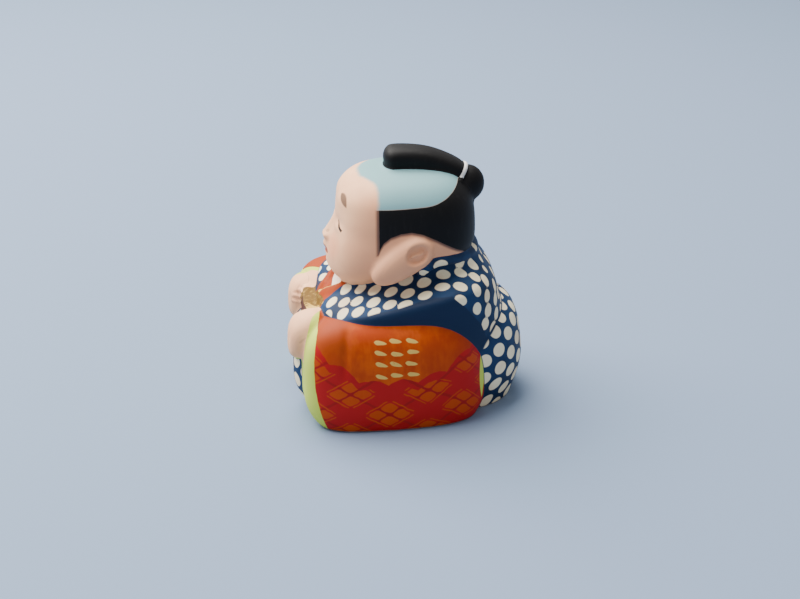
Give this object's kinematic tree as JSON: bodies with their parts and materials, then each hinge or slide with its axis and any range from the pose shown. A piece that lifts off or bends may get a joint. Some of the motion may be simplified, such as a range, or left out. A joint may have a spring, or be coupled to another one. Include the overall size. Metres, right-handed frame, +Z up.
{
  "type": "clay figurine",
  "caption": "Small painted clay doll of a kneeling figure with a large head, topknot, long ear lobes, shoulder cape and wide sleeves.",
  "frame": {"origin": "centre of the bounding box on the flat underside", "axes": "+Z up, the doll faces -Y, its left hand is towards +X"},
  "size_m": [0.0618, 0.0727, 0.0794],
  "materials": {
    "painted_clay": "matte"
  },
  "bodies": {
    "root": {"clay_doll": "painted_clay"}
  },
  "joints": []
}
